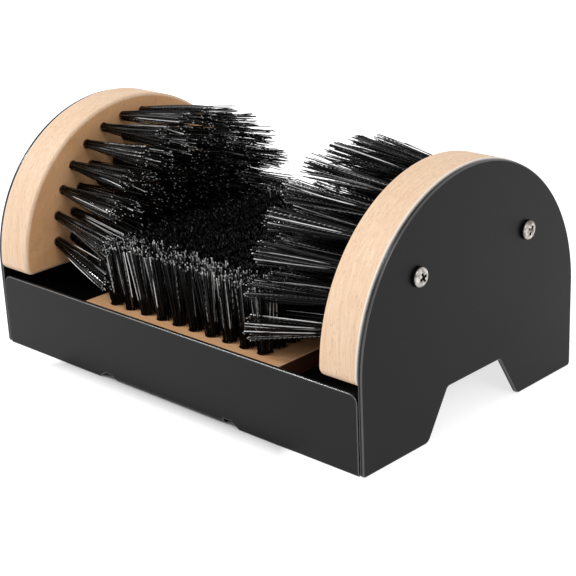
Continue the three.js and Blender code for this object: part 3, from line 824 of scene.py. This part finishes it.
def filament_arrays(rng, lines, radius, shine, kind):
    """Tubes along middle lines: their points, the faces of their sides, the sides at their ends that carry
    the painted glint, root ends and tip ends, the shade of each point, and the kind.

    Shine is the palest shade that their sides may have; a shine below 1 is painted shade."""
    count, steps, _ = lines.shape
    sides = FILAMENT_SIDES
    angle = np.linspace(0, 2 * math.pi, sides, endpoint=False) + rng.uniform(0, math.pi, (count, 1))
    width = radius * rng.uniform(*OWN_WIDTHS, (count, 1, 1)) * np.ones((1, steps, 1))
    ring = np.stack([np.cos(angle), np.sin(angle), np.zeros_like(angle)], axis=-1)
    points = lines[:, :, None, :] + width[..., None] * ring[:, None, :, :]
    first = (np.arange(count) * steps * sides)[:, None, None]
    step = (np.arange(steps - 1) * sides)[None, :, None]
    side = np.arange(sides)[None, None, :]
    after = (side + 1) % sides
    base = first + step
    quads = np.stack([base + side, base + after, base + after + sides, base + side + sides], axis=-1)
    root = first[:, 0] + np.arange(sides)[::-1]
    tip = first[:, 0] + (steps - 1) * sides + np.arange(sides)
    shades = np.repeat(rng.uniform(0, 1, count), steps * sides).reshape(count, steps, sides)
    from_root = (lines[..., 2] / lines[:, -1:, 2]).clip(0, ROOT_SHADE_LENGTH) / ROOT_SHADE_LENGTH
    # painted shade: each filament darker towards its root, and as a whole by its tuft's shine
    shades[:, :-2] *= shine * (ROOT_SHADE + (1 - ROOT_SHADE) * from_root[:, :-2, None])
    # the last two rings keep more of their shade, for the painted glints at the ends
    shades[:, -2:] *= DULL_TIP_SHADE + (1 - DULL_TIP_SHADE) * shine
    plain, glint_sides = quads[:, :-1].reshape(-1, 4), quads[:, -1].reshape(-1, 4)
    return points.reshape(-1, 3), plain, glint_sides, root, tip, shades.ravel(), kind


def filaments_object(name, groups, turn, materials):
    """One piece out of groups of filaments, turned from their own axes to the frame's by turn."""
    points, faces, numbers, shades = [], [], [], []
    offset = 0
    for group_points, plain, glint_sides, root, tip, group_shades, kind in groups:
        points.append(group_points)
        for part, number in ((plain, kind), (root, kind), (glint_sides, GLINT_END), (tip, GLINT_END)):
            faces += (part + offset).tolist()
            numbers.append(np.full(len(part), number))
        shades.append(group_shades)
        offset += len(group_points)
    points = np.concatenate(points) @ np.array(turn).T * MM
    mesh = bpy.data.meshes.new(name)
    mesh.from_pydata(points.tolist(), [], faces)
    mesh.polygons.foreach_set("material_index", np.concatenate(numbers).astype(np.int32))
    shade_values = mesh.attributes.new("filament_glint_and_shade", "FLOAT", "POINT")
    shade_values.data.foreach_set("value", np.concatenate(shades).astype(np.float32))
    for material in materials:
        mesh.materials.append(material)
    return new_object(name, mesh)


def side_brush_groups(rng, rows, back, count, crimped, tip_radius, shines):
    """Filaments of a side brush, their axes (y, z, distance from the block's face).

    Back is 1 or -1, the direction of the scraper's back along y. Shines has a value for each row: the palest
    shade its filaments may have, lower in the inner rows as painted shade."""
    middle_z = (BLOCK_BOTTOM + SPRING + BLOCK_RADIUS) / 2
    kinds = (
        (crimped, SIDE_CRIMP_STEPS, SIDE_CRIMP, CRIMPED),
        (count - crimped, SIDE_STEPS, NO_CRIMP, STRAIGHT),
    )
    groups = []
    for row, row_shine in zip(rows, shines):
        for y, z in row:
            spread_z = SIDE_SPREAD_UP if z > middle_z else SIDE_SPREAD_DOWN
            lean = (y * SIDE_SPREAD_ACROSS, (z - middle_z) * spread_z)
            # painted shade on the tufts at the back
            shine = row_shine * (BACK_SHINE if y * back > 0 else 1)
            for number, steps, crimp, kind in kinds:
                lines = tuft_lines(
                    rng, number, steps, (y, z), lean, crimp, tip_radius=tip_radius, **SIDE_TUFT,
                )
                lines[..., 1] = soft_limit(lines[..., 1], SIDE_TOP, SIDE_TOP_SOFTNESS)
                groups.append(filament_arrays(rng, lines, SIDE_FILAMENT_RADIUS, shine, kind))
    return groups


def build_side_brush(side, materials):
    rng = np.random.default_rng(SEEDS[side])
    turn = Matrix(((0, 0, -1), (1, 0, 0), (0, 1, 0)))
    rows = side_tufts()
    for name, part, tufts in (
        ("outer", rows[:OUTER_ROWS], OUTER_TUFTS),
        ("inner", rows[OUTER_ROWS:], INNER_TUFTS),
    ):
        groups = side_brush_groups(rng, part, 1 if side == "right" else -1, **tufts)
        obj = filaments_object(f"{side}_{name}_tufts", groups, turn, materials)
        obj.data.transform(Matrix.Translation((FACE_X * MM, 0, 0)))
        if side == "left":
            obj.data.transform(HALF_TURN)
        place(obj, "bristle")
    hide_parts(f"{side}_bristles")


def build_bottom_brush(materials):
    rng = np.random.default_rng(SEEDS["bottom"])
    kinds = (
        (BOTTOM_CRIMPED, BOTTOM_CRIMP_STEPS, BOTTOM_CRIMP, CRIMPED),
        (BOTTOM_COUNT - BOTTOM_CRIMPED, BOTTOM_STEPS, NO_CRIMP, STRAIGHT),
    )
    for name, side in (("front", -1), ("back", 1)):
        groups = []
        for x, y in bottom_tufts():
            if y * side < 0:
                continue
            lean = (x * BOTTOM_SPLAY, y * BOTTOM_SPLAY)
            from_edge = BOARD_HIGH[1] - BOTTOM_TUFT_MARGIN - abs(y)
            # painted shade on the bottom brush's inner rows
            shine = 1.0 if from_edge < SHINY_ROWS * BOTTOM_TUFT_PITCH_Y else INNER_SHINE
            for number, steps, crimp, kind in kinds:
                lines = tuft_lines(rng, number, steps, (x, y), lean, crimp, **BOTTOM_TUFT)
                groups.append(filament_arrays(rng, lines, BOTTOM_FILAMENT_RADIUS, shine, kind))
        obj = filaments_object(f"bottom_{name}_tufts", groups, Matrix.Identity(3), materials)
        obj.data.transform(Matrix.Translation((0, 0, BOARD_TOP * MM)))
        place(obj, "bristle")
    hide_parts("bottom_bristles")


# Screws

def screw_rings(head_radius, head_height, shank_radius, length, pitch):
    """Rings of a pan-head screw along Z, from its point up. The head stands on z = 0."""
    turn = np.arange(SCREW_SIDES) / SCREW_SIDES
    thread_depth = THREAD_DEPTH * shank_radius
    core = shank_radius - thread_depth
    rings = []
    for z in np.arange(-length, THREAD_END, pitch / THREAD_STEPS):
        ridge = 1 - np.abs(2 * ((z / pitch - turn) % 1) - 1)
        taper = min(1.0, max((z + length) / (POINT_LENGTH * shank_radius), POINT_WIDTH))
        rings.append((z, (core + thread_depth * ridge**THREAD_SHARPNESS) * taper))
    rings += [(NECK_END, core), (0, shank_radius - thread_depth / 2)]
    rings += [(0, head_radius - HEAD_EDGE), (HEAD_EDGE, head_radius)]
    rim = HEAD_RIM * head_height
    for angle in np.radians(np.linspace(0, HEAD_LAST_ANGLE, HEAD_STEPS)):
        rise = (head_height - rim) * math.sin(angle) ** HEAD_ROUNDNESS
        rings.append((rim + rise, head_radius * math.cos(angle) ** HEAD_ROUNDNESS))
    return rings


def screw_object(name, size, metal):
    """A pan-head screw along Z with a threaded shank and a tapered cross recess."""
    screw = to_object(lathe(screw_rings(**size), SCREW_SIDES), name, metal)
    span = RECESS_SPAN * size["head_radius"]
    half_width = RECESS_HALF_WIDTH * size["head_radius"]
    top = size["head_height"] + RECESS_MARGIN
    bottom = size["head_height"] - RECESS_DEPTH * size["head_height"]
    outline = [(-span, top), (-RECESS_TAPER * span, bottom), (RECESS_TAPER * span, bottom), (span, top)]
    for quarter in (0, 1):
        wedge = prism(outline, -half_width, half_width, 1)
        bmesh.ops.rotate(wedge, verts=wedge.verts, matrix=Matrix.Rotation(quarter * math.pi / 2, 3, "Z"))
        cut(screw, wedge)
    return shade(screw, 40)


def put_screw(pattern, node, seat, tip_over, turn):
    """Puts a copy of a screw at its seat, tipped over by a matrix and turned by degrees."""
    spin = Matrix.Rotation(math.radians(turn), 4, "Z")
    matrix = Matrix.Translation(Vector(seat) * MM) @ tip_over @ spin
    place(moved_copy(pattern, f"{node}_threaded", matrix), "screw_metal", node)


def build_screws():
    side_screw = screw_object("side_screw", SIDE_SCREW, plated("plated_side_screw", "X"))
    floor_screw = screw_object("floor_screw", FLOOR_SCREW, plated("plated_floor_screw", "Z"))
    for where, turn in SIDE_SCREW_TURNS.items():
        node = f"{where}_screw"
        low, high = box_mm(node)
        outer_x, outwards = (high[0], 1) if where.startswith("right") else (low[0], -1)
        seat_x = outer_x - outwards * SIDE_SCREW["head_height"]
        tip_over = Matrix.Rotation(math.radians(outwards * 90), 4, "Y")
        seat = (seat_x, (low[1] + high[1]) / 2, (low[2] + high[2]) / 2)
        put_screw(side_screw, node, seat, tip_over, turn)
    for i, where in enumerate(FLOOR_SCREWS):
        node = f"floor_screw_{where}"
        low, high = box_mm(node)
        seat = ((low[0] + high[0]) / 2, (low[1] + high[1]) / 2, low[2] + FLOOR_SCREW["head_height"])
        turn = FLOOR_SCREW_TURN + FLOOR_SCREW_TURN_STEP * i
        put_screw(floor_screw, node, seat, Matrix.Rotation(math.pi, 4, "X"), turn)
    bpy.data.objects.remove(side_screw)
    bpy.data.objects.remove(floor_screw)


# Camera and studio

def add_camera():
    azimuth, elevation, roll = (math.radians(a) for a in (CAMERA_AZIMUTH, CAMERA_ELEVATION, CAMERA_ROLL))
    back = Vector((
        math.sin(azimuth) * math.cos(elevation),
        -math.cos(azimuth) * math.cos(elevation),
        math.sin(elevation),
    ))
    level_right = (-back).cross(Vector((0, 0, 1))).normalized()
    level_up = level_right.cross(-back)
    right = math.cos(roll) * level_right + math.sin(roll) * level_up
    up = -math.sin(roll) * level_right + math.cos(roll) * level_up
    camera = new_object("camera", bpy.data.cameras.new("camera"))
    camera.data.lens = CAMERA_LENS
    camera.data.clip_start, camera.data.clip_end = CAMERA_CLIP
    stand = (Vector(CAMERA_TARGET) + back * CAMERA_DISTANCE) * MM
    camera.matrix_world = Matrix.Translation(stand) @ Matrix((right, up, back)).transposed().to_4x4()
    bpy.context.scene.camera = camera


def add_softbox(name, direction, distance, size, power):
    """A square area light, aimed at the scraper from a direction."""
    light = bpy.data.lights.new(name, "AREA")
    light.shape = "SQUARE"
    light.size = size
    light.energy = power
    lamp = new_object(name, light)
    towards = Vector(direction).normalized()
    lamp.location = towards * distance + Vector(SOFTBOX_AIM)
    lamp.rotation_mode = "QUATERNION"
    lamp.rotation_quaternion = towards.to_track_quat("Z", "Y")


def seen_directly(nodes):
    """1 for camera, glossy and transmission rays, and 0 for those that carry light."""
    path = nodes.add("ShaderNodeLightPath")
    total = path.outputs["Is Camera Ray"]
    for name in ("Is Glossy Ray", "Is Transmission Ray"):
        total = nodes.math("MAXIMUM", total, path.outputs[name])
    return total


def add_world():
    """An even pale light all round, seen as white."""
    world = bpy.data.worlds.new("studio")
    bpy.context.scene.world = world
    world.use_nodes = True
    nodes = Nodes(world)
    background = nodes.tree.nodes["Background"]
    nodes.put(even(1), background.inputs["Color"])
    nodes.put(nodes.spread(seen_directly(nodes), 0, 1, WORLD_LIGHT, 1), background.inputs["Strength"])


def studio_floor():
    """A floor that shows as white but with painted shade under the tray and a soft painted shadow along the
    foot of each panel, and turns into the background further off.
    """
    material, shader = new_material(
        "floor", Base_Color=(*even(0.7), 1), Roughness=0.9, Specular_IOR_Level=0.0,
        Emission_Color=(*even(1), 1),
    )
    nodes = Nodes(material)
    where = nodes.position()
    away = nodes.add("ShaderNodeVectorMath", {0: where}, operation="LENGTH").outputs["Value"]
    glow = nodes.spread(away, *FLOOR_FADE, FLOOR_GLOW, 1)
    # painted shade: the glow is taken away under the tray and, softly, along the foot of each panel
    beside = nodes.spread(nodes.part(where, "X"), *UNDER_TRAY_X, 0, 1)
    before = nodes.spread(nodes.part(where, "Y"), *UNDER_TRAY_Y, 0, 1)
    seen = nodes.math("MULTIPLY", seen_directly(nodes), glow)
    strength = nodes.math("MULTIPLY", seen, nodes.math("MAXIMUM", beside, before))
    nodes.put(strength, shader.inputs["Emission Strength"])
    return material


def add_floor():
    """A plain floor that keeps the shadow."""
    half = FLOOR_HALF_SIZE
    corners = [(-half, -half), (half, -half), (half, half), (-half, half)]
    mesh = bpy.data.meshes.new("floor")
    mesh.from_pydata([(x, y, -FLOOR_GAP) for x, y in corners], [], [(0, 1, 2, 3)])
    mesh.materials.append(studio_floor())
    floor = new_object("floor", mesh)


add_camera()
add_world()
add_floor()
for softbox in SOFTBOXES:
    add_softbox(*softbox)
bpy.context.scene.view_settings.view_transform = "Standard"

coat = powder_coat()
edge = coat_edge_highlight()
build_end_plates(coat, edge)
build_panels(coat, edge)
finish_floor(coat)
build_side_blocks()
build_board()
filament_materials = (bristle(), bristle_end_glint(), crimped_bristle())
build_side_brush("right", filament_materials)
build_side_brush("left", filament_materials)
build_bottom_brush(filament_materials)
build_screws()
